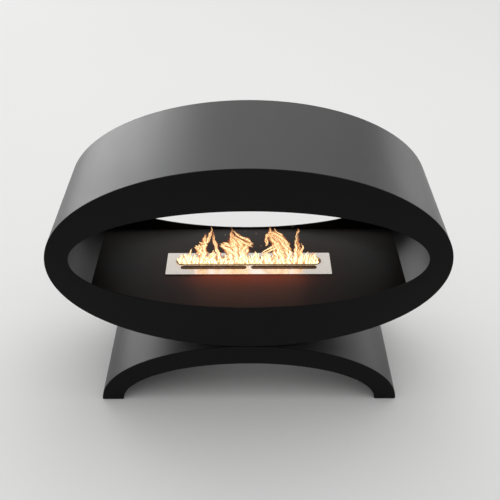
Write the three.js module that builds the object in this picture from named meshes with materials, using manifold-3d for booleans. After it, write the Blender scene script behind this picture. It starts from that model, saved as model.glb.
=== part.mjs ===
// Bioethanol fireplace: an elliptical sheet-steel drum, open at the front and the rear, carried
// on a hollow arched base. A stainless burner insert drops into the drum's hearth floor and
// holds a fuel tank with a ceramic filling under a sliding shutter.
//
// Millimetres. +X is to the viewer's right, +Y to the rear and +Z up. The origin lies on the
// ground under the middle of the base.

import * as THREE from 'three';
import { mergeVertices } from 'three/addons/utils/BufferGeometryUtils.js';
import Module from 'manifold-3d';

// ---- Driving dimensions ---------------------------------------------------------------------

// Drum
const DRUM_WIDTH = 1000;
const DRUM_HEIGHT = 530;
const DRUM_DEPTH = 380;
const SHELL_WALL = 3;
const FACE_THICKNESS = 3;
const FACE_OUTER_ROUND = 2; // radius on the outer edge of each face plate
const FACE_INNER_ROUND = 0.8; // radius on the edge of the fire opening
const RIM_SIDE = 58; // width of the face plate beside the fire opening
const RIM_TOP = 113;
const RIM_BOTTOM = 129;

// Hearth floor
const FLOOR_LIP = 5; // height of the lower rim above the floor, at the middle
const FLOOR_THICKNESS = 2;
const FLOOR_FOLD = 15; // turned-down front and rear edges
const LEDGE_WIDTH = 26;
const LEDGE_DROP = 27;
const LEDGE_SHEET = 2;
const LEDGE_END_SETBACK = 10;
const STIFFENER_FLANGE = 18;
const STIFFENER_HEIGHT = 20;
const STIFFENER_SHEET = 2;
const STIFFENER_OFFSET = 8; // from the burner cut-out
const STIFFENER_END_GAP = 1; // to the ledges

// Base arch
const BASE_WIDTH = 808;
const BASE_RISE = 191;
const BAND_SIDE = 58; // width of the band at the legs
const BAND_CROWN = 60; // height of the band at the crown
const BASE_FACE_THICKNESS = 3;
const BASE_EDGE_ROUND = 1.5;
const SKIN_THICKNESS = 2;
const FOOT_PLATE_THICKNESS = 3;
const RIB_THICKNESS = 3;
const RIB_X = 92;
const GLIDE_THICKNESS = 2;
const GLIDE_LENGTH = 60;
const GLIDE_WIDTH = 46;
const GLIDE_CORNER = 6;
const GLIDE_SETBACK = 12; // from the front and rear faces

// Joint between the drum and the base
const DRUM_TO_CROWN = 1; // daylight between the drum's lowest line and the crown
const SADDLE_X = 55; // middle of each packing bar
const SADDLE_WIDTH = 30;
const SADDLE_SETBACK = 40; // from the front and rear faces
const BOLT_SPACING_Y = 50;
const BOLT_DIAMETER = 8;
const BOLT_FLANGE_DIAMETER = 17;
const BOLT_FLANGE_THICKNESS = 1.6;
const BOLT_HEAD_ACROSS_FLATS = 13;
const BOLT_HEAD_HEIGHT = 6;
const BOLT_THREAD_BELOW_SKIN = 13;
const BOLT_CHAMFER = 1;
const WASHER_DIAMETER = 24;
const WASHER_THICKNESS = 3;
const WELD_NUT_DIAMETER = 18;
const WELD_NUT_HEIGHT = 15;

// Burner insert
const BURNER_SETBACK = 150; // front face of the drum to the front edge of the burner plate
const BURNER_END_BORDER = 28; // plate beyond each end of the flame opening
const BURNER_FRONT_BORDER = 23; // plate in front of the slots
const BURNER_PLATE_THICKNESS = 2;
const BURNER_CORNER = 3;
const BURNER_FLANGE = 8; // overhang of the plate beyond the drip tray
const FLAME_LENGTH = 394;
const FLAME_WIDTH = 35;
const FLAME_FROM_REAR = 20.5; // rear edge of the plate to the rear edge of the flame opening
const FLAME_LIP_WIDTH = 1.6;
const FLAME_LIP_HEIGHT = 1;
const SLOT_WIDTH = 16.5;
const SLOT_BRIDGE = 12; // plate between the two slots
const SLOT_END_INSET = 11; // end of the flame opening to the outer end of a slot
const SLOT_FROM_FLAME = 5;
const SLOT_MESH_THICKNESS = 0.8;
const SLOT_MESH_BORDER = 2;
const SLOT_MESH_OPENING = 4;
const SLOT_MESH_PITCH = 7.5;
const TRAY_DEPTH = 62; // from the hearth floor's top to the tray's underside
const TRAY_WALL = 1.5;
const TRAY_CORNER = 6;
const OVERFLOW_GAP = 3; // between the tank's rim and the tray
const BEARER_HEIGHT = 6;
const BEARER_WIDTH = 20;
const BEARER_SHEET = 1.5;
const BEARER_FROM_TANK_END = 72.5; // middle of each bearer
const DECK_THICKNESS = 1.5;
const TANK_WALL = 1.5;
const TANK_END_FLANGE = 10;
const TANK_SIDE_FLANGE = 4;
const WICK_MESH_THICKNESS = 1;
const WICK_MESH_BORDER = 3.5; // overlap of the mesh round the tank's mouth
const WICK_MESH_SLOT = 10;
const WICK_MESH_WEB = 4;
const SCREW_DIAMETER = 3;
const SCREW_HEAD_DIAMETER = 5.4;
const SCREW_HEAD_HEIGHT = 1.8;
const SCREW_INSET = 5; // screw axis to the edge of the deck
const SCREW_THREAD_BELOW_DECK = 6;

// Shutter
const SHUTTER_THICKNESS = 1.5;
const SHUTTER_OVERLAP = 2; // over the tank's mouth when it is shut
const SHUTTER_END_OVERLAP = 5.5; // beyond the ends of the flame opening
const SHUTTER_RUN = 0.5; // running clearance above, below and at the ends
const LIP_CLEARANCE = 0.5; // between the upturned lip and the edges of the flame opening
const LIP_END_SETBACK = 10; // from the ends of the flame opening's straight sides
const LIP_BELOW_PLATE = 0.5;
const HOOK_WINDOW_LENGTH = 24;
const HOOK_WINDOW_HEIGHT = 1.4;
const RAIL_SHEET = 1;
const RAIL_KEEPER = 3; // how far the rail reaches over the shutter's end
const RAIL_WALL = 1.5;

// Fits and facets
const SEAT_GAP = 0.3; // between a piece and the curved neighbour it is shaped to
const CUTOUT_CLEARANCE = 1; // round the drip tray in the hearth floor
const BOLT_CLEARANCE = 0.3; // radial, round each bolt
const SCREW_CLEARANCE = 0.2;
const DRUM_SEGMENTS = 104;
const ARCH_SEGMENTS = 56;
const ROUND_SEGMENTS = 16; // round a bolt
const SMALL_ROUND_SEGMENTS = 8; // round a screw
const CURVE_SEGMENTS = 8; // on each arc of the burner plate and its meshes
const CORNER_SEGMENTS = 3; // on each corner of a folded or moulded piece
const WELD_TOLERANCE = 1e-4;

// ---- Worked-out places ----------------------------------------------------------------------

const drumHalfWidth = DRUM_WIDTH / 2;
const drumHalfHeight = DRUM_HEIGHT / 2;
const halfDepth = DRUM_DEPTH / 2;
const drumCentreZ = BASE_RISE + DRUM_TO_CROWN + drumHalfHeight;
const openingHalfWidth = drumHalfWidth - RIM_SIDE;
const openingHalfHeight = (DRUM_HEIGHT - RIM_TOP - RIM_BOTTOM) / 2;
const openingRise = (RIM_BOTTOM - RIM_TOP) / 2;
const shellHalfLength = halfDepth - FACE_THICKNESS;

const floorTop = RIM_BOTTOM - FLOOR_LIP - drumHalfHeight; // in the drum's own frame
const floorUnderside = floorTop - FLOOR_THICKNESS;

const baseHalfWidth = BASE_WIDTH / 2;
const archHalfWidth = baseHalfWidth - BAND_SIDE;
const archRise = BASE_RISE - BAND_CROWN;
const skinHalfLength = halfDepth - BASE_FACE_THICKNESS;
const farOff = DRUM_WIDTH + DRUM_DEPTH; // beyond every piece, for the ends of cutting solids

const burnerLength = FLAME_LENGTH + 2 * BURNER_END_BORDER;
const burnerWidth = BURNER_FRONT_BORDER + SLOT_WIDTH + SLOT_FROM_FLAME + FLAME_WIDTH + FLAME_FROM_REAR;
const burnerCentreY = BURNER_SETBACK + burnerWidth / 2 - halfDepth;
const burnerZ = drumCentreZ + floorTop;
const trayLength = burnerLength - 2 * BURNER_FLANGE;
const trayWidth = burnerWidth - 2 * BURNER_FLANGE;
const flameCentreY = burnerWidth / 2 - FLAME_FROM_REAR - FLAME_WIDTH / 2; // in the burner's frame
const flameFrontY = flameCentreY - FLAME_WIDTH / 2;
const flameRearY = flameCentreY + FLAME_WIDTH / 2;
const slotCentreY = flameFrontY - SLOT_FROM_FLAME - SLOT_WIDTH / 2;
const slotLength = (FLAME_LENGTH - SLOT_BRIDGE) / 2 - SLOT_END_INSET;
const slotCentreX = (SLOT_BRIDGE + slotLength) / 2;

// Levels below the burner plate, in the burner's frame (its zero is the plate's underside)
const shutterTop = -SLOT_MESH_THICKNESS - SHUTTER_RUN;
const shutterUnderside = shutterTop - SHUTTER_THICKNESS;
const deckTop = shutterUnderside - SHUTTER_RUN;
const deckUnderside = deckTop - DECK_THICKNESS;
const trayFloorTop = TRAY_WALL - TRAY_DEPTH;
const tankUnderside = trayFloorTop + BEARER_HEIGHT;

const lipFrontY = flameFrontY + LIP_CLEARANCE;
const shutterRearY = lipFrontY + SHUTTER_THICKNESS;
const mouthInset = LIP_CLEARANCE + SHUTTER_THICKNESS + LIP_CLEARANCE;
const mouthWidth = FLAME_WIDTH - 2 * mouthInset;
const mouthLength = FLAME_LENGTH - 2 * mouthInset;
const shutterWidth = mouthWidth + 2 * SHUTTER_OVERLAP;
const shutterLength = FLAME_LENGTH + 2 * SHUTTER_END_OVERLAP;

const deckLength = trayLength - 2 * TRAY_WALL - 2 * OVERFLOW_GAP;
const deckWidth = trayWidth - 2 * TRAY_WALL - 2 * OVERFLOW_GAP;
const tankLength = deckLength - 2 * TANK_END_FLANGE;
const tankWidth = deckWidth - 2 * TANK_SIDE_FLANGE;
const bearerX = tankLength / 2 - BEARER_FROM_TANK_END;

// ---- Materials ------------------------------------------------------------------------------

function finish(color, roughness, metalness) {
  return () => new THREE.MeshStandardMaterial({ color, roughness, metalness });
}

const blackCoat = finish(0x1b1b1b, 0.5, 0.1);
const hearthCoat = finish(0x2c2a2a, 0.55, 0.1);
const brushedSteel = finish(0xc6c0b9, 0.35, 0.95);
const plainSteel = finish(0x8f8b86, 0.45, 0.9);
const zincPlate = finish(0xa3a3a0, 0.4, 0.9);
const ceramicFibre = finish(0xe9e3d6, 0.95, 0);
const blackRubber = finish(0x141414, 0.85, 0);

// ---- Solids ---------------------------------------------------------------------------------

const wasm = await Module();
wasm.setup();

function toSolid(geometry) {
  const bare = geometry.clone();
  bare.deleteAttribute('normal');
  bare.deleteAttribute('uv');
  const welded = mergeVertices(bare, WELD_TOLERANCE);
  const mesh = new wasm.Mesh({
    numProp: 3,
    vertProperties: new Float32Array(welded.attributes.position.array),
    triVerts: new Uint32Array(welded.index.array),
  });
  return new wasm.Manifold(mesh);
}

function toGeometry(solid) {
  const mesh = solid.getMesh();
  const geometry = new THREE.BufferGeometry();
  geometry.setAttribute('position', new THREE.BufferAttribute(mesh.vertProperties, 3));
  geometry.setIndex(new THREE.BufferAttribute(mesh.triVerts, 1));
  geometry.computeVertexNormals();
  return geometry;
}

function cut(body, ...tools) {
  let solid = toSolid(body);
  for (const tool of tools) solid = solid.subtract(toSolid(tool));
  return toGeometry(solid);
}

function join(...bodies) {
  let solid = toSolid(bodies[0]);
  for (const body of bodies.slice(1)) solid = solid.add(toSolid(body));
  return toGeometry(solid);
}

function common(body, ...others) {
  let solid = toSolid(body);
  for (const other of others) solid = solid.intersect(toSolid(other));
  return toGeometry(solid);
}

// A prism of an outline, from one level to the next along Z, Y or X. The outline's own axes are
// X and Y along Z, X and Z along Y, and Y and Z along X.
function alongZ(shape, from, to, curveSegments = CURVE_SEGMENTS) {
  const settings = { depth: to - from, bevelEnabled: false, curveSegments };
  return new THREE.ExtrudeGeometry(shape, settings).translate(0, 0, from);
}

function alongY(shape, from, to) {
  return alongZ(shape, -to, -from).rotateX(Math.PI / 2);
}

function alongX(shape, from, to) {
  const turn = new THREE.Matrix4().makeBasis(
    new THREE.Vector3(0, 1, 0),
    new THREE.Vector3(0, 0, 1),
    new THREE.Vector3(1, 0, 0),
  );
  return alongZ(shape, from, to).applyMatrix4(turn);
}

function box(low, high) {
  const size = high.map((value, axis) => value - low[axis]);
  const middle = high.map((value, axis) => (value + low[axis]) / 2);
  return new THREE.BoxGeometry(...size).translate(...middle);
}

// An upright cylinder, or a prism with that many sides.
function rod(radius, from, to, x = 0, y = 0, sides = ROUND_SEGMENTS) {
  const geometry = new THREE.CylinderGeometry(radius, radius, to - from, sides);
  return geometry.rotateX(Math.PI / 2).translate(x, y, (from + to) / 2);
}

// ---- Outlines -------------------------------------------------------------------------------

function ellipsePoint(halfWidth, halfHeight, centre, angle) {
  return new THREE.Vector2(halfWidth * Math.cos(angle), centre + halfHeight * Math.sin(angle));
}

function ellipseShape(halfWidth, halfHeight, centre) {
  const points = [];
  for (let i = 0; i < DRUM_SEGMENTS; i += 1) {
    const angle = (2 * Math.PI * i) / DRUM_SEGMENTS;
    points.push(ellipsePoint(halfWidth, halfHeight, centre, angle));
  }
  return new THREE.Shape(points);
}

// Half an ellipse with its ends cut off level at a height above its own centre.
function arc(halfWidth, rise, cutHeight) {
  const start = Math.asin(cutHeight / rise);
  const points = [];
  for (let i = 0; i <= ARCH_SEGMENTS; i += 1) {
    const angle = start + ((Math.PI - 2 * start) * i) / ARCH_SEGMENTS;
    points.push(ellipsePoint(halfWidth, rise, 0, angle));
  }
  return points;
}

function archBand(outerHalfWidth, outerRise, innerHalfWidth, innerRise) {
  const outer = arc(outerHalfWidth, outerRise, GLIDE_THICKNESS);
  const inner = arc(innerHalfWidth, innerRise, GLIDE_THICKNESS);
  return [...outer, ...inner.reverse()];
}

function roundedRectangle(length, width, radius, centreY = 0) {
  const x = length / 2 - radius;
  const y = width / 2 - radius;
  const shape = new THREE.Shape();
  shape.absarc(x, centreY + y, radius, 0, Math.PI / 2);
  shape.absarc(-x, centreY + y, radius, Math.PI / 2, Math.PI);
  shape.absarc(-x, centreY - y, radius, Math.PI, (3 * Math.PI) / 2);
  shape.absarc(x, centreY - y, radius, (3 * Math.PI) / 2, 2 * Math.PI);
  return shape;
}

function stadium(length, width, centreX, centreY) {
  const reach = length / 2 - width / 2;
  const shape = new THREE.Shape();
  shape.absarc(centreX + reach, centreY, width / 2, -Math.PI / 2, Math.PI / 2);
  shape.absarc(centreX - reach, centreY, width / 2, Math.PI / 2, (3 * Math.PI) / 2);
  return shape;
}

function polygon(...corners) {
  return new THREE.Shape(corners.map(([x, y]) => new THREE.Vector2(x, y)));
}

// ---- Sections swept round or stacked --------------------------------------------------------

function closedGeometry(positions, triangles) {
  const geometry = new THREE.BufferGeometry();
  geometry.setAttribute('position', new THREE.Float32BufferAttribute(positions, 3));
  geometry.setIndex(triangles);
  geometry.computeVertexNormals();
  return geometry;
}

// A closed section carried once round an ellipse. Each of its points has its own half width,
// half height and centre height, and lies at its own depth.
function sweptEllipse(section) {
  const positions = [];
  const triangles = [];
  const count = section.length;
  for (let i = 0; i < DRUM_SEGMENTS; i += 1) {
    const angle = (2 * Math.PI * i) / DRUM_SEGMENTS;
    const next = (i + 1) % DRUM_SEGMENTS;
    section.forEach((point, j) => {
      const place = ellipsePoint(point.halfWidth, point.halfHeight, point.centre, angle);
      positions.push(place.x, point.y, place.y);
      const here = i * count + j;
      const beside = i * count + ((j + 1) % count);
      const ahead = next * count + j;
      const diagonal = next * count + ((j + 1) % count);
      triangles.push(here, beside, diagonal, here, diagonal, ahead);
    });
  }
  return closedGeometry(positions, triangles);
}

// Outlines with the same number of points at rising depths, skinned and capped.
function stackedOutlines(layers) {
  const positions = [];
  const triangles = [];
  const count = layers[0].outline.length;
  for (const layer of layers) {
    for (const point of layer.outline) positions.push(point.x, layer.y, point.y);
  }
  for (let k = 0; k + 1 < layers.length; k += 1) {
    for (let i = 0; i < count; i += 1) {
      const here = k * count + i;
      const beside = k * count + ((i + 1) % count);
      triangles.push(here, here + count, beside + count, here, beside + count, beside);
    }
  }
  const last = (layers.length - 1) * count;
  for (const [a, b, c] of THREE.ShapeUtils.triangulateShape(layers[0].outline, [])) {
    triangles.push(a, b, c);
    triangles.push(last + a, last + c, last + b);
  }
  return closedGeometry(positions, triangles);
}

// Steps of a quarter round, from the side of an edge to its face: how far each lies in from
// the side and in from the face.
function quarterRound(radius, steps = 2) {
  const list = [];
  for (let i = 0; i <= steps; i += 1) {
    const angle = (Math.PI / 2) * (i / steps);
    list.push({ inset: radius * (1 - Math.cos(angle)), depth: radius * (1 - Math.sin(angle)) });
  }
  return list;
}

// The same piece turned to face the rear.
function facingRear(geometry) {
  return geometry.rotateZ(Math.PI);
}

// ---- The assembly ---------------------------------------------------------------------------

const fireplace = new THREE.Group();
const drum = new THREE.Group();
const base = new THREE.Group();
const burner = new THREE.Group();
drum.position.z = drumCentreZ;
burner.position.set(0, burnerCentreY, burnerZ);
fireplace.add(drum, base, burner);

function addPiece(group, name, geometry, material) {
  const mesh = new THREE.Mesh(geometry, material());
  mesh.name = name;
  group.add(mesh);
  return mesh;
}

const sides = [
  { word: 'left', sign: -1 },
  { word: 'right', sign: 1 },
];

// Half width of the drum's inside at a height in its own frame, less a clearance.
function drumInsideX(z, clearance) {
  const halfWidth = drumHalfWidth - SHELL_WALL - clearance;
  const halfHeight = drumHalfHeight - SHELL_WALL - clearance;
  return halfWidth * Math.sqrt(1 - (z / halfHeight) ** 2);
}

function boltPlaces() {
  const places = [];
  for (const side of sides) {
    for (const end of [-1, 1]) {
      const label = `${end < 0 ? 'front' : 'rear'}_${side.word}`;
      places.push({ label, x: side.sign * SADDLE_X, y: (end * BOLT_SPACING_Y) / 2 });
    }
  }
  return places;
}

function boltHoles(from, to) {
  const radius = BOLT_DIAMETER / 2 + BOLT_CLEARANCE;
  return boltPlaces().map((place) => rod(radius, from, to, place.x, place.y));
}

// ---- Drum: rolled shell and two face plates -------------------------------------------------

function shellGeometry() {
  const outer = { halfWidth: drumHalfWidth, halfHeight: drumHalfHeight, centre: 0 };
  const inner = {
    halfWidth: drumHalfWidth - SHELL_WALL,
    halfHeight: drumHalfHeight - SHELL_WALL,
    centre: 0,
  };
  const tube = sweptEllipse([
    { ...outer, y: -shellHalfLength },
    { ...outer, y: shellHalfLength },
    { ...inner, y: shellHalfLength },
    { ...inner, y: -shellHalfLength },
  ]);
  return cut(tube, ...boltHoles(-farOff, 0));
}

// An elliptical plate with its fire opening. Its outer face looks to the front.
function faceGeometry() {
  const face = -halfDepth;
  const back = face + FACE_THICKNESS;
  const outer = (inset, y) => ({
    halfWidth: drumHalfWidth - inset,
    halfHeight: drumHalfHeight - inset,
    centre: 0,
    y,
  });
  const inner = (inset, y) => ({
    halfWidth: openingHalfWidth + inset,
    halfHeight: openingHalfHeight + inset,
    centre: openingRise,
    y,
  });
  const outside = quarterRound(FACE_OUTER_ROUND).map((step) => outer(step.inset, face + step.depth));
  const inside = quarterRound(FACE_INNER_ROUND, 1).map((step) => inner(step.inset, face + step.depth));
  return sweptEllipse([inner(0, back), ...inside, ...outside.reverse(), outer(0, back)]);
}

addPiece(drum, 'drum_shell', shellGeometry(), blackCoat);
addPiece(drum, 'front_face', faceGeometry(), blackCoat);
addPiece(drum, 'rear_face', facingRear(faceGeometry()), blackCoat);

// ---- Hearth floor, its ledges and stiffeners ------------------------------------------------

const cutoutHalfLength = trayLength / 2 + CUTOUT_CLEARANCE;
const cutoutHalfWidth = trayWidth / 2 + CUTOUT_CLEARANCE;

function floorGeometry() {
  const halfLength = shellHalfLength - SEAT_GAP;
  const topX = drumInsideX(floorTop, SEAT_GAP);
  const bottomX = drumInsideX(floorUnderside, SEAT_GAP);
  const sheet = alongY(
    polygon([-bottomX, floorUnderside], [bottomX, floorUnderside], [topX, floorTop], [-topX, floorTop]),
    -halfLength,
    halfLength,
  );
  const foldFoot = floorTop - FLOOR_FOLD;
  const foldX = drumInsideX(foldFoot, LEDGE_SHEET);
  const folds = [-1, 1].map((end) => {
    const edges = [end * halfLength, end * (halfLength - FLOOR_THICKNESS)].sort((a, b) => a - b);
    return box([-foldX, edges[0], foldFoot], [foldX, edges[1], floorUnderside + FLOOR_THICKNESS / 2]);
  });
  const cutout = box(
    [-cutoutHalfLength, burnerCentreY - cutoutHalfWidth, foldFoot],
    [cutoutHalfLength, burnerCentreY + cutoutHalfWidth, floorTop + FLOOR_THICKNESS],
  );
  return cut(join(sheet, ...folds), cutout);
}

// An angle whose slanting leg lies on the inside of the shell and whose flat leg carries the
// floor.
const ledgeInnerX = drumInsideX(floorUnderside, SEAT_GAP) - LEDGE_WIDTH;

function ledgeGeometry(sign) {
  const steps = 6;
  const flangeUnderside = floorUnderside - LEDGE_SHEET;
  const foot = floorUnderside - LEDGE_DROP;
  const corners = [
    [ledgeInnerX, floorUnderside],
    [ledgeInnerX, flangeUnderside],
  ];
  for (let i = 0; i <= steps; i += 1) {
    const z = flangeUnderside + ((foot - flangeUnderside) * i) / steps;
    corners.push([drumInsideX(z, SEAT_GAP + LEDGE_SHEET), z]);
  }
  for (let i = 0; i <= steps; i += 1) {
    const z = foot + ((floorUnderside - foot) * i) / steps;
    corners.push([drumInsideX(z, SEAT_GAP), z]);
  }
  const halfLength = shellHalfLength - LEDGE_END_SETBACK;
  const outline = polygon(...corners.map(([x, z]) => [sign * x, z]));
  return alongY(outline, -halfLength, halfLength);
}

// An angle under the floor along one long edge of the burner cut-out.
function stiffenerGeometry(end) {
  const near = cutoutHalfWidth + STIFFENER_OFFSET;
  const far = near + STIFFENER_FLANGE;
  const web = near + STIFFENER_SHEET;
  const foot = floorUnderside - STIFFENER_HEIGHT;
  const flangeUnderside = floorUnderside - STIFFENER_SHEET;
  const reach = Math.min(ledgeInnerX, drumInsideX(foot, SEAT_GAP + LEDGE_SHEET)) - STIFFENER_END_GAP;
  const corners = [
    [near, floorUnderside],
    [near, foot],
    [web, foot],
    [web, flangeUnderside],
    [far, flangeUnderside],
    [far, floorUnderside],
  ];
  const outline = polygon(...corners.map(([y, z]) => [burnerCentreY + end * y, z]));
  return alongX(outline, -reach, reach);
}

addPiece(drum, 'hearth_floor', floorGeometry(), hearthCoat);
for (const side of sides) {
  addPiece(drum, `floor_ledge_${side.word}`, ledgeGeometry(side.sign), blackCoat);
}
addPiece(drum, 'floor_stiffener_front', stiffenerGeometry(-1), blackCoat);
addPiece(drum, 'floor_stiffener_rear', stiffenerGeometry(1), blackCoat);

// ---- Base: two arched face plates, two skins, foot plates, ribs and glides ------------------

function baseFaceGeometry() {
  const face = -halfDepth;
  const outline = (inset) =>
    archBand(baseHalfWidth - inset, BASE_RISE - inset, archHalfWidth + inset, archRise + inset);
  const rounded = quarterRound(BASE_EDGE_ROUND).map((step) => ({
    y: face + step.depth,
    outline: outline(step.inset),
  }));
  return stackedOutlines([...rounded.reverse(), { y: face + BASE_FACE_THICKNESS, outline: outline(0) }]);
}

function skinGeometry(halfWidth, rise) {
  const outline = archBand(halfWidth, rise, halfWidth - SKIN_THICKNESS, rise - SKIN_THICKNESS);
  return alongY(new THREE.Shape(outline), -skinHalfLength, skinHalfLength);
}

const hollowOuter = { halfWidth: baseHalfWidth - SKIN_THICKNESS, rise: BASE_RISE - SKIN_THICKNESS };
const hollowInner = { halfWidth: archHalfWidth + SKIN_THICKNESS, rise: archRise + SKIN_THICKNESS };

// The part of a body that lies in the hollow between the two skins. The inner cutter reaches a
// little below the ground, so that it leaves nothing at the foot of the hollow.
function insideBand(body) {
  const outer = arc(hollowOuter.halfWidth - SEAT_GAP, hollowOuter.rise - SEAT_GAP, 0);
  const inner = arc(hollowInner.halfWidth + SEAT_GAP, hollowInner.rise + SEAT_GAP, 0);
  inner[0].y = -SEAT_GAP;
  inner[inner.length - 1].y = -SEAT_GAP;
  const within = alongY(new THREE.Shape(outer), -farOff, farOff);
  const below = alongY(new THREE.Shape(inner), -farOff, farOff);
  return toGeometry(toSolid(body).intersect(toSolid(within)).subtract(toSolid(below)));
}

function footPlateGeometry(sign) {
  const insideX = archHalfWidth - FOOT_PLATE_THICKNESS;
  const xs = [sign * insideX, sign * baseHalfWidth].sort((a, b) => a - b);
  const halfLength = skinHalfLength - SEAT_GAP;
  const top = GLIDE_THICKNESS + FOOT_PLATE_THICKNESS;
  return insideBand(box([xs[0], -halfLength, GLIDE_THICKNESS], [xs[1], halfLength, top]));
}

function ribGeometry(sign) {
  const halfLength = skinHalfLength - SEAT_GAP;
  const middle = sign * RIB_X;
  const half = RIB_THICKNESS / 2;
  const low = [middle - half, -halfLength, GLIDE_THICKNESS];
  return insideBand(box(low, [middle + half, halfLength, BASE_RISE]));
}

function glideGeometry(x, y) {
  const outline = roundedRectangle(GLIDE_WIDTH, GLIDE_LENGTH, GLIDE_CORNER);
  return alongZ(outline, 0, GLIDE_THICKNESS, CORNER_SEGMENTS).translate(x, y, 0);
}

addPiece(base, 'base_front_plate', baseFaceGeometry(), blackCoat);
addPiece(base, 'base_rear_plate', facingRear(baseFaceGeometry()), blackCoat);
addPiece(
  base,
  'base_outer_skin',
  cut(skinGeometry(baseHalfWidth, BASE_RISE), ...boltHoles(BASE_RISE / 2, farOff)),
  blackCoat,
);
addPiece(base, 'base_inner_skin', skinGeometry(hollowInner.halfWidth, hollowInner.rise), blackCoat);
for (const side of sides) {
  addPiece(base, `base_foot_${side.word}`, footPlateGeometry(side.sign), blackCoat);
  addPiece(base, `base_rib_${side.word}`, ribGeometry(side.sign), blackCoat);
  const glideX = (side.sign * (baseHalfWidth + archHalfWidth)) / 2;
  const glideY = halfDepth - GLIDE_SETBACK - GLIDE_LENGTH / 2;
  addPiece(base, `glide_front_${side.word}`, glideGeometry(glideX, -glideY), blackRubber);
  addPiece(base, `glide_rear_${side.word}`, glideGeometry(glideX, glideY), blackRubber);
}

// ---- Packing bars and bolts between the drum and the base -----------------------------------

// A bar that fills the wedge beside the line where the drum and the crown come together.
function saddleGeometry(sign) {
  const halfLength = halfDepth - SADDLE_SETBACK;
  const middle = sign * SADDLE_X;
  const half = SADDLE_WIDTH / 2;
  const blank = box([middle - half, -halfLength, BASE_RISE / 2], [middle + half, halfLength, drumCentreZ]);
  const above = alongY(
    ellipseShape(drumHalfWidth + SEAT_GAP, drumHalfHeight + SEAT_GAP, drumCentreZ),
    -farOff,
    farOff,
  );
  const crown = new THREE.Shape(arc(baseHalfWidth + SEAT_GAP, BASE_RISE + SEAT_GAP, 0));
  return cut(blank, above, alongY(crown, -farOff, farOff), ...boltHoles(0, farOff));
}

// Height of the shell's inside over the ground at a distance from the middle.
function drumInsideFloorZ(x) {
  const halfWidth = drumHalfWidth - SHELL_WALL - SEAT_GAP;
  const halfHeight = drumHalfHeight - SHELL_WALL - SEAT_GAP;
  return drumCentreZ - halfHeight * Math.sqrt(1 - (x / halfWidth) ** 2);
}

const washerTop = drumInsideFloorZ(SADDLE_X) + WASHER_THICKNESS;
const skinInsideZ = hollowOuter.rise * Math.sqrt(1 - (SADDLE_X / hollowOuter.halfWidth) ** 2);

// A taper washer: flat on top, and shaped to the curved shell below.
function washerGeometry(place) {
  const blank = rod(WASHER_DIAMETER / 2, BASE_RISE / 2, washerTop, place.x, place.y);
  const inside = alongY(
    ellipseShape(
      drumHalfWidth - SHELL_WALL - SEAT_GAP,
      drumHalfHeight - SHELL_WALL - SEAT_GAP,
      drumCentreZ,
    ),
    -farOff,
    farOff,
  );
  const hole = rod(BOLT_DIAMETER / 2 + BOLT_CLEARANCE, 0, farOff, place.x, place.y);
  return cut(common(blank, inside), hole);
}

function weldNutGeometry(place) {
  const foot = skinInsideZ - WELD_NUT_HEIGHT;
  const blank = rod(WELD_NUT_DIAMETER / 2, foot, BASE_RISE, place.x, place.y);
  const hole = rod(BOLT_DIAMETER / 2 + BOLT_CLEARANCE, 0, farOff, place.x, place.y);
  return cut(insideBand(blank), hole);
}

function boltGeometry(place) {
  const flangeTop = washerTop + BOLT_FLANGE_THICKNESS;
  const profile = [
    [0, skinInsideZ - BOLT_THREAD_BELOW_SKIN],
    [BOLT_DIAMETER / 2 - BOLT_CHAMFER, skinInsideZ - BOLT_THREAD_BELOW_SKIN],
    [BOLT_DIAMETER / 2, skinInsideZ - BOLT_THREAD_BELOW_SKIN + BOLT_CHAMFER],
    [BOLT_DIAMETER / 2, washerTop],
    [BOLT_FLANGE_DIAMETER / 2, washerTop],
    [BOLT_FLANGE_DIAMETER / 2, washerTop + BOLT_FLANGE_THICKNESS / 2],
    [BOLT_HEAD_ACROSS_FLATS / 2, flangeTop],
    [0, flangeTop],
  ].map(([radius, z]) => new THREE.Vector2(radius, z));
  const shank = new THREE.LatheGeometry(profile, ROUND_SEGMENTS).rotateX(Math.PI / 2);
  const hexRadius = BOLT_HEAD_ACROSS_FLATS / Math.sqrt(3);
  const hexFoot = washerTop + BOLT_FLANGE_THICKNESS / 2;
  const hexagon = rod(hexRadius, hexFoot, washerTop + BOLT_HEAD_HEIGHT, 0, 0, 6);
  return join(shank, hexagon).translate(place.x, place.y, 0);
}

for (const side of sides) {
  addPiece(base, `saddle_bar_${side.word}`, saddleGeometry(side.sign), blackCoat);
}
for (const place of boltPlaces()) {
  addPiece(base, `bevel_washer_${place.label}`, washerGeometry(place), zincPlate);
  addPiece(base, `drum_bolt_${place.label}`, boltGeometry(place), zincPlate);
  addPiece(base, `weld_nut_${place.label}`, weldNutGeometry(place), plainSteel);
}

// ---- Burner insert: top plate, drip tray, tank, filling and meshes --------------------------

function burnerPlateGeometry() {
  const outline = roundedRectangle(burnerLength, burnerWidth, BURNER_CORNER);
  outline.holes.push(stadium(FLAME_LENGTH, FLAME_WIDTH, 0, flameCentreY));
  for (const side of sides) {
    outline.holes.push(stadium(slotLength, SLOT_WIDTH, side.sign * slotCentreX, slotCentreY));
  }
  const lipLength = FLAME_LENGTH + 2 * FLAME_LIP_WIDTH;
  const lipWidth = FLAME_WIDTH + 2 * FLAME_LIP_WIDTH;
  const lip = stadium(lipLength, lipWidth, 0, flameCentreY);
  lip.holes.push(stadium(FLAME_LENGTH, FLAME_WIDTH, 0, flameCentreY));
  const sheet = alongZ(outline, 0, BURNER_PLATE_THICKNESS);
  return join(sheet, alongZ(lip, 0, BURNER_PLATE_THICKNESS + FLAME_LIP_HEIGHT));
}

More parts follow.
